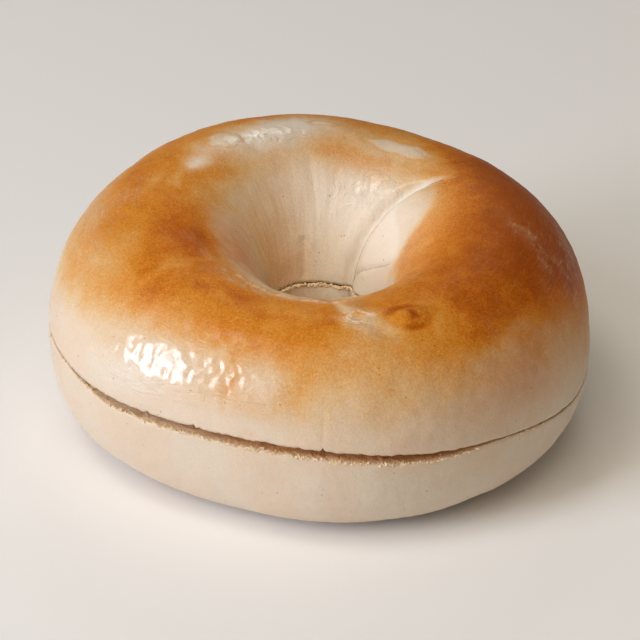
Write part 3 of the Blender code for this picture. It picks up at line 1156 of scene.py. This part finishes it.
        # Painted shade: the lap crease, the lens's lower crease and the far fold are darkened as lines.
        for line, strength in (("lap", 0.75), ("lens", 0.5), ("fold", 0.15)):
            crease_shade = 1.0 - desk.maths("ABSOLUTE", desk.attribute(line)).eased(0.05, 0.32)
            colour = desk.mix(crease_shade * strength * fine.eased(0.25, 0.6), colour, self.crease, "MULTIPLY")
        sand = desk.lumps(place, 0.32 * MM, 2.0, 0.7)
        colour = desk.mix((1.0 - sand.eased(0.38, 0.58)) * (bake_and_painted_shade * 0.75 + 0.12), colour, self.grit, "MULTIPLY")
        inputs = {"Vector": place, "Scale": 1.0 / (1.6 * MM)}
        near = desk.node("ShaderNodeTexVoronoi", {}, inputs, "Distance")
        rare = desk.lumps(place, 3.1 * MM, 1.0).eased(0.50, 0.62)
        specks = (1.0 - near.eased(0.05, 0.13)) * rare
        return desk.mix(specks * 0.8, colour, self.speck, "MULTIPLY")


@dataclass(frozen=True)
class CrumbFinish:
    """The torn, open inside of the dough, with painted shade deeper into the cut's gap."""

    name: str = "crumb"
    colour: Colour = (0.90, 0.75, 0.54)
    shade: Colour = (0.82, 0.57, 0.33)
    # Painted shade deep in the cut's gap.
    deep: Colour = (0.80, 0.44, 0.18)

    def material(self) -> bpy.types.Material:
        """Make the material."""
        desk = Desk(self.name)
        place = desk.node("ShaderNodeTexCoord", {}, {}, "Object")
        pores = desk.lumps(place, 0.9 * MM, 4.0, 0.65)
        depth = desk.attribute("depth") + (pores - 0.5) * 1.6
        colour = desk.mix(pores.eased(0.3, 0.65), self.shade, self.colour)
        # Painted shade: darker further into the gap, as the depth attribute tells.
        colour = desk.mix(depth.eased(0.2, 2.0), colour, self.deep)
        bump = desk.node("ShaderNodeBump", {}, {"Height": pores, "Distance": 0.5 * MM, "Strength": 1.0}, "Normal")
        return desk.finish(Base_Color=colour, Roughness=0.9, Normal=bump)


@dataclass(frozen=True)
class FloorFinish:
    """Plain pale paper."""

    name: str = "floor_paper"
    colour: Colour = (0.95, 0.955, 0.97)

    def material(self) -> bpy.types.Material:
        """Make the material."""
        desk = Desk(self.name)
        return desk.finish(Base_Color=self.colour, Roughness=0.9)


# ---------------------------------------------------------------------------------------------
# Pieces
# ---------------------------------------------------------------------------------------------


@dataclass
class Half:
    """One half of the bagel as a closed mesh: its skin, and the rough face that the knife left."""

    side: Side
    node: str
    slot: str
    dough: Dough
    stations: int = 640
    front_crowding: float = 0.25
    skin_points: int = 118
    face_points: int = 26
    lip_rows: float = 3.0
    # The bottom half's crumb is painted lighter round the left, where light falls into the gap.
    painted_light_angle: float = math.radians(-145)
    painted_light_fade: float = math.radians(50)
    lips: dict[str, Array] = field(default_factory=dict)

    def angles(self) -> Array:
        """Return a column of angles, which stand closer together round the front."""
        even = np.linspace(-math.pi, math.pi, self.stations, endpoint=False)[:, None]
        return even - self.front_crowding * np.sin(turn_between(even, math.radians(-90)))

    def sections(self, angles: Array) -> tuple[Array, Array]:
        """Trace the half's closed sections.

        Args:
            angles: A column of angles.

        Returns:
            Radii and heights, each (angles, points): the skin from lip to lip, then the face.
        """
        radius, height = self.dough.outline(angles)
        clearance = height - self.rough_face(angles, radius, height)
        lines = [self.skin_line(*rows) for rows in zip(radius, height, clearance)]
        skin_radius, skin_height = (np.array(part) for part in zip(*lines))
        eased = (1.0 - np.cos(np.linspace(0.0, math.pi, self.face_points + 2)[1:-1])) / 2.0
        face_radius = skin_radius[:, -1:] + (skin_radius[:, :1] - skin_radius[:, -1:]) * eased
        face_height = self.dough.cut.torn_face(np.broadcast_to(angles, face_radius.shape), face_radius, self.side)
        return (
            np.concatenate([skin_radius, face_radius], axis=1),
            np.concatenate([skin_height, face_height], axis=1),
        )

    def rough_face(self, angles: Array, radius: Array, height: Array) -> Array:
        """Return the torn face's height where the outline comes near it, and the plain one's elsewhere."""
        plain = self.dough.cut.face(angles, radius, self.side)
        near = np.abs(height - plain) < 2.0 * MM
        rough = plain.copy()
        spread_angles = np.broadcast_to(angles, radius.shape)
        rough[near] = self.dough.cut.torn_face(spread_angles[near], radius[near], self.side)
        return rough

    def skin_line(self, radius: Array, height: Array, clearance: Array) -> Array:
        """Take the skin between the lips from one section, evenly spaced.

        Args:
            radius: The section's radii.
            height: The section's heights.
            clearance: How far each point is above the cut face.

        Returns:
            Radii and heights, as (2, skin points).
        """
        changes = np.nonzero(np.diff(clearance > 0.0))[0]
        outer, inner = changes[0], changes[-1]
        line = np.stack([radius, height])
        lips = []
        for before in (outer, inner):
            share = clearance[before] / (clearance[before] - clearance[before + 1])
            lips.append(line[:, before] + share * (line[:, before + 1] - line[:, before]))
        outer_lip, inner_lip = (lip[:, None] for lip in lips)
        if self.side is Side.TOP:
            whole = np.concatenate([outer_lip, line[:, outer + 1:inner + 1], inner_lip], axis=1)
        else:
            under = np.concatenate([line[:, inner + 1:], line[:, 1:outer + 1]], axis=1)
            whole = np.concatenate([inner_lip, under, outer_lip], axis=1)
        travelled = np.concatenate([[0.0], np.cumsum(np.hypot(*np.diff(whole, axis=1)))])
        stops = np.linspace(0.0, travelled[-1], self.skin_points)
        return np.stack([np.interp(stops, travelled, part) for part in whole])

    def build(self, placing: Placing, crust: bpy.types.Material, crumb: bpy.types.Material) -> bpy.types.Object:
        """Make the half's mesh object and dress it.

        Args:
            placing: Where the dough lies in the frame.
            crust: The skin's material.
            crumb: The cut face's material.

        Returns:
            The object.
        """
        angles = self.angles()
        radius, height = self.sections(angles)
        inner, outer = (0, self.skin_points - 1) if self.side is Side.BOTTOM else (self.skin_points - 1, 0)
        for name, place in (("inner", inner), ("outer", outer)):
            self.lips[name] = np.stack([angles[:, 0], radius[:, place], height[:, place]])
        skin = SkinPlaces.of(self.dough, angles, radius, height)
        relief = SkinRelief()
        count = radius.shape[1]
        is_skin = np.arange(count) < self.skin_points
        from_lip = np.minimum(np.arange(count), np.abs(self.skin_points - 1 - np.arange(count))) / self.lip_rows
        amount = relief.at(self.dough, skin) * is_skin * np.minimum(from_lip, 1.0)
        placed = placing.place(skin.points + self.normals(skin.points) * amount[..., None])
        grid = np.arange(self.stations * count).reshape(self.stations, count)
        ahead = np.roll(grid, -1, axis=0)
        corners = [grid, ahead, np.roll(ahead, -1, axis=1), np.roll(grid, -1, axis=1)]
        faces = np.stack(corners, axis=-1).reshape(-1, 4)
        mesh = bpy.data.meshes.new(self.node + "_look")
        mesh.from_pydata(placed.reshape(-1, 3).tolist(), [], faces.tolist())
        mesh.shade_smooth()
        mesh.materials.append(crust)
        mesh.materials.append(crumb)
        on_face = np.tile(np.arange(count) >= self.skin_points - 1, self.stations)
        mesh.polygons.foreach_set("material_index", on_face.astype(np.int32))
        self.dress(mesh, skin, relief)
        half = bpy.data.objects.new(self.node + "_look", mesh)
        bpy.context.scene.collection.objects.link(half)
        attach(half, BODY)
        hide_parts(self.node)
        log.info("%s: %d faces", half.name, len(mesh.polygons))
        return half

    def dress(self, mesh: bpy.types.Mesh, skin: SkinPlaces, relief: SkinRelief) -> None:
        """Let the mesh's points carry what the crust's material draws.

        Args:
            mesh: The half's mesh.
            skin: Where its points lie on the ring.
            relief: The skin's unevenness.
        """
        x, y = skin.points[..., 0], skin.points[..., 1]
        lap, looks = self.dough.lap, SkinLooks()
        # Browning, with painted shade on the hole's left wall and along the right rim.
        self.carry(mesh, "bake_and_painted_shade", BrowningAndPaintedShade().at(self.dough, skin))
        # Bare lens, bleached skin and the rim's roll, and painted light deep in the hole.
        bald_and_painted_light = np.maximum(1.0 - BrowningAndPaintedShade().lens_bare(self.dough, skin), looks.pale_and_painted_light_at(skin))
        self.carry(mesh, "bald_and_painted_light", np.maximum(bald_and_painted_light, 0.75 * relief.rim_shown(skin)))
        self.carry(mesh, "gloss", looks.gloss_at(skin))
        # Pinkish dullness, and painted shade.
        self.carry(mesh, "tan", looks.tan_and_painted_shade_at(skin))
        self.carry(mesh, "fibrous", looks.fibrous_at(skin))
        self.carry(mesh, "wall", relief.on_wall(skin))
        self.carry(mesh, "dry", looks.dry_at(skin))
        self.carry(mesh, "blister", relief.blister_edge(skin) / MM)
        self.carry(mesh, "lap", lap.crease(x, y, skin.height) / MM)
        self.carry(mesh, "lens", lap.lower_crease(x, y, skin.height) / MM)
        self.carry(mesh, "fold", relief.far_fold.across(skin) / MM)
        # depth drives the crumb's painted shade: darker further into the gap, lighter round the left where light falls
        # in, and a step darker on the top half's face.
        lips = skin.radius[:, [0, self.skin_points - 1]]
        from_lips = np.abs(skin.radius[..., None] - lips[:, None, :]).min(axis=-1)
        painted_shade_share = 0.15 + 0.85 * smooth_step(turn_between(skin.angle, self.painted_light_angle), 0.0, self.painted_light_fade)
        self.carry(mesh, "depth", (from_lips * painted_shade_share if self.side is Side.BOTTOM else from_lips + 0.6 * MM) / MM)

    @staticmethod
    def normals(points: Array) -> Array:
        """Return the outward normals of points that lie in a grid closed both ways."""
        round_step = np.roll(points, -1, axis=0) - np.roll(points, 1, axis=0)
        over_step = np.roll(points, -1, axis=1) - np.roll(points, 1, axis=1)
        normal = np.cross(round_step, over_step)
        return normal / np.linalg.norm(normal, axis=-1, keepdims=True)

    @staticmethod
    def carry(mesh: bpy.types.Mesh, name: str, values: Array) -> None:
        """Let the mesh's points carry a number each."""
        mesh.attributes.new(name, "FLOAT", "POINT").data.foreach_set("value", values.astype(np.float32).ravel())


@dataclass(frozen=True)
class FleckFinish:
    """Dry crumbs that the knife left."""

    name: str = "fleck"
    pale: Colour = (0.88, 0.72, 0.50)
    brown: Colour = (0.78, 0.56, 0.33)

    def material(self) -> bpy.types.Material:
        """Make the material."""
        desk = Desk(self.name)
        place = desk.node("ShaderNodeTexCoord", {}, {}, "Object")
        patchy = desk.lumps(place, 1.4 * MM, 2.0)
        pores = desk.lumps(place, 0.25 * MM, 3.0)
        colour = desk.mix(patchy.eased(0.52, 0.62), self.pale, self.brown)
        bump = desk.node("ShaderNodeBump", {}, {"Height": pores, "Distance": 0.1 * MM, "Strength": 1.0}, "Normal")
        return desk.finish(Base_Color=colour, Roughness=0.9, Normal=bump)


@dataclass
class Flecks:
    """The crumbs that cling along the lips of the cut."""

    mouth_count: int = 900
    hole_count: int = 900
    gap_count: int = 420
    smallest: float = 0.07 * MM
    largest: float = 0.24 * MM
    seed: int = 7

    @staticmethod
    def ball() -> tuple[Array, Array]:
        """Return an icosahedron's corners and faces."""
        golden = (1.0 + math.sqrt(5.0)) / 2.0
        corners = []
        for first in (-1.0, 1.0):
            for second in (-golden, golden):
                corners += [(0.0, first, second), (first, second, 0.0), (second, 0.0, first)]
        points = np.array(corners) / math.hypot(1.0, golden)
        near = np.linalg.norm(points[:, None] - points[None], axis=-1) < 1.1
        faces = []
        for a in range(12):
            for b in range(a + 1, 12):
                for c in range(b + 1, 12):
                    if near[a, b] and near[b, c] and near[a, c]:
                        outward = np.dot(np.cross(points[b] - points[a], points[c] - points[a]), points[a]) > 0.0
                        faces.append((a, b, c) if outward else (a, c, b))
        return points, np.array(faces)

    def build(self, placing: Placing, lips: dict[str, Array], crumb: bpy.types.Material) -> bpy.types.Object:
        """Make the flecks' mesh object and dress it.

        Args:
            placing: Where the dough lies in the frame.
            lips: The outer and inner lip of the bottom half, as rows of (angle, radius, height).
            crumb: The flecks' material.

        Returns:
            The object.
        """
        draw = np.random.default_rng(self.seed)
        mouth = math.radians(-104) + math.radians(64) * np.clip(draw.normal(0.0, 0.62, self.mouth_count), -1.0, 1.0)
        hole = math.radians(92) + math.radians(60) * draw.uniform(-1.0, 1.0, self.hole_count)
        spots = []
        gap = math.radians(92) + math.radians(60) * draw.uniform(-1.0, 1.0, self.gap_count)
        lines = (
            ("outer", mouth, -1.0, 0.45 * MM, 0.06 * MM),
            ("inner", hole, 1.0, 0.12 * MM, -0.04 * MM),
            ("inner", gap, 1.0, 0.10 * MM, 0.20 * MM),
        )
        for name, turned, inward, spread, rise in lines:
            angle, radius, height = lips[name]
            at_radius = np.interp(turned, angle, radius, period=2.0 * math.pi)
            at_height = np.interp(turned, angle, height, period=2.0 * math.pi)
            step_in = np.abs(draw.normal(0.0, spread, len(turned))) - 0.10 * MM
            at_radius = at_radius + inward * step_in
            at_height = at_height + rise - np.maximum(-step_in, 0.0) * 1.5
            spots.append(np.stack([at_radius * np.cos(turned), at_radius * np.sin(turned), at_height], axis=-1))
        spots = np.concatenate(spots)
        corners, faces = self.ball()
        sizes = self.smallest + (self.largest - self.smallest) * draw.random(len(spots)) ** 2
        uneven = 1.0 + 0.35 * draw.standard_normal((len(spots), len(corners), 1)).clip(-1.5, 1.5)
        squash = 0.7 + 0.6 * draw.random((len(spots), 1, 3))
        grains = spots[:, None] + corners[None] * uneven * squash * sizes[:, None, None]
        starts = np.arange(len(spots))[:, None, None] * len(corners)
        mesh = bpy.data.meshes.new("crumb_flecks")
        mesh.from_pydata(
            placing.place(grains.reshape(-1, 3)).tolist(), [], (faces[None] + starts).reshape(-1, 3).tolist()
        )
        mesh.materials.append(crumb)
        flecks = bpy.data.objects.new("crumb_flecks", mesh)
        bpy.context.scene.collection.objects.link(flecks)
        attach(flecks, BODY)
        log.info("%s: %d faces", flecks.name, len(mesh.polygons))
        return flecks


@dataclass
class Studio:
    """The pale floor, the soft lights and the camera."""

    elevation: float = math.radians(31)
    distance: float = 566.0 * MM
    target: tuple[float, float, float] = (-0.85 * MM, 0.0, 19.24 * MM)
    focal_lengths_across: float = 2963.0 / 640.0
    sensor: float = 36.0
    light_distance: float = 1.1
    key_from: tuple[float, float, float] = (-0.74, -0.38, 0.64)
    key_size: float = 0.5
    key_power: float = 2.0
    side_from: tuple[float, float, float] = (-0.80, -0.42, 0.26)
    side_size: float = 0.42
    side_power: float = 5.4
    key_colour: Colour = (0.93, 0.985, 1.13)
    top_from: tuple[float, float, float] = (-0.20, -0.45, 1.0)
    top_size: float = 0.9
    top_power: float = 4.5
    top_colour: Colour = (1.0, 0.87, 0.66)
    glint_from: tuple[float, float, float] = (-0.36, -0.14, 0.92)
    glint_size: float = 0.30
    glint_power: float = 1.1
    glint_colour: Colour = (1.0, 0.97, 0.92)
    back_from: tuple[float, float, float] = (0.03, 0.77, 0.64)
    back_size: float = 0.22
    back_power: float = 0.5
    hole_from: tuple[float, float, float] = (-0.26, -0.46, 0.85)
    hole_aim: tuple[float, float, float] = (2.0 * MM, 4.0 * MM, 20.0 * MM)
    hole_beam: float = math.radians(2.4)
    hole_power: float = 23.0
    hole_lamp: float = 20.0 * MM
    room_strength: float = 0.16
    room_colour: Colour = (1.0, 0.88, 0.74)

    def camera(self, placing: Placing) -> None:
        """Place the camera."""
        data = bpy.data.cameras.new("camera")
        data.sensor_width = self.sensor
        data.lens = self.sensor * self.focal_lengths_across
        data.clip_start, data.clip_end = 0.01, 100.0
        back = Vector((0.0, -math.cos(self.elevation), math.sin(self.elevation)))
        target = Vector(placing.place(np.array(self.target)))
        camera = self.stand("camera", data, target + back * self.distance, back)
        bpy.context.scene.camera = camera

    @staticmethod
    def stand(name: str, data: Any, spot: Vector, back: Vector) -> bpy.types.Object:
        """Put a camera or light at a spot, with its back that way.

        Args:
            name: The object's name.
            data: The camera or light.
            spot: Where it stands.
            back: The direction away from what it faces.

        Returns:
            The object.
        """
        made = bpy.data.objects.new(name, data)
        made.matrix_world = Matrix.Translation(spot) @ (-back).to_track_quat("-Z", "Y").to_matrix().to_4x4()
        bpy.context.scene.collection.objects.link(made)
        return made

    def softbox(
        self, name: str, towards: tuple[float, float, float], size: float, power: float, colour: Colour, mirrored: bool
    ) -> None:
        """Hang a square softbox that faces the bagel.

        Args:
            name: The light's name.
            towards: The direction that it stands in.
            size: Its side, in metres.
            power: Its power, in watts.
            colour: Its colour.
            mirrored: Whether glossy skin mirrors it.
        """
        light = bpy.data.lights.new(name, "AREA")
        light.shape = "SQUARE"
        light.size = size
        light.energy = power
        light.color = colour
        direction = Vector(towards).normalized()
        hung = self.stand(name, light, direction * self.light_distance, direction)
        hung.visible_glossy = mirrored

    def lights(self) -> None:
        """Hang the softboxes and fill the room with pale light."""
        self.softbox("key_softbox", self.key_from, self.key_size, self.key_power, self.key_colour, False)
        self.softbox("side_softbox", self.side_from, self.side_size, self.side_power, self.key_colour, True)
        self.softbox("top_softbox", self.top_from, self.top_size, self.top_power, self.top_colour, False)
        self.softbox("glint_softbox", self.glint_from, self.glint_size, self.glint_power, self.glint_colour, True)
        self.softbox("back_softbox", self.back_from, self.back_size, self.back_power, self.glint_colour, True)
        beam = bpy.data.lights.new("hole_spot", "SPOT")
        beam.energy, beam.color = self.hole_power, self.top_colour
        beam.spot_size, beam.spot_blend = self.hole_beam, 1.0
        beam.shadow_soft_size = self.hole_lamp
        direction = Vector(self.hole_from).normalized()
        spot = self.stand("hole_spot", beam, Vector(self.hole_aim) + direction * self.light_distance, direction)
        spot.visible_glossy = False
        world = bpy.data.worlds.new("room")
        world.use_nodes = True
        background = world.node_tree.nodes["Background"]
        background.inputs["Color"].default_value = (*self.room_colour, 1.0)
        background.inputs["Strength"].default_value = self.room_strength
        bpy.context.scene.world = world
        bpy.context.scene.view_settings.view_transform = "Standard"

    def floor(self) -> None:
        """Lay the floor."""
        mesh = bpy.data.meshes.new("floor")
        mesh.from_pydata([(-3, -3, 0), (3, -3, 0), (3, 3, 0), (-3, 3, 0)], [], [(0, 1, 2, 3)])
        mesh.materials.append(FloorFinish().material())
        floor = bpy.data.objects.new("floor", mesh)
        bpy.context.scene.collection.objects.link(floor)


def main() -> None:
    """Build the bagel and its studio."""
    logging.basicConfig(level=logging.INFO, format="%(name)s: %(message)s")
    dough = Dough()
    placing = Placing(dough)
    crumb = CrumbFinish().material()
    halves = [
        Half(Side.BOTTOM, "bottom_half", "bottom_crust", dough, skin_points=96),
        Half(Side.TOP, "top_half", "top_crust", dough, skin_points=126),
    ]
    for half in halves:
        half.build(placing, CrustFinish(half.slot).material(), crumb)
    Flecks().build(placing, halves[0].lips, FleckFinish().material())
    studio = Studio()
    studio.camera(placing)
    studio.lights()
    studio.floor()


if __name__ == "__main__":
    main()
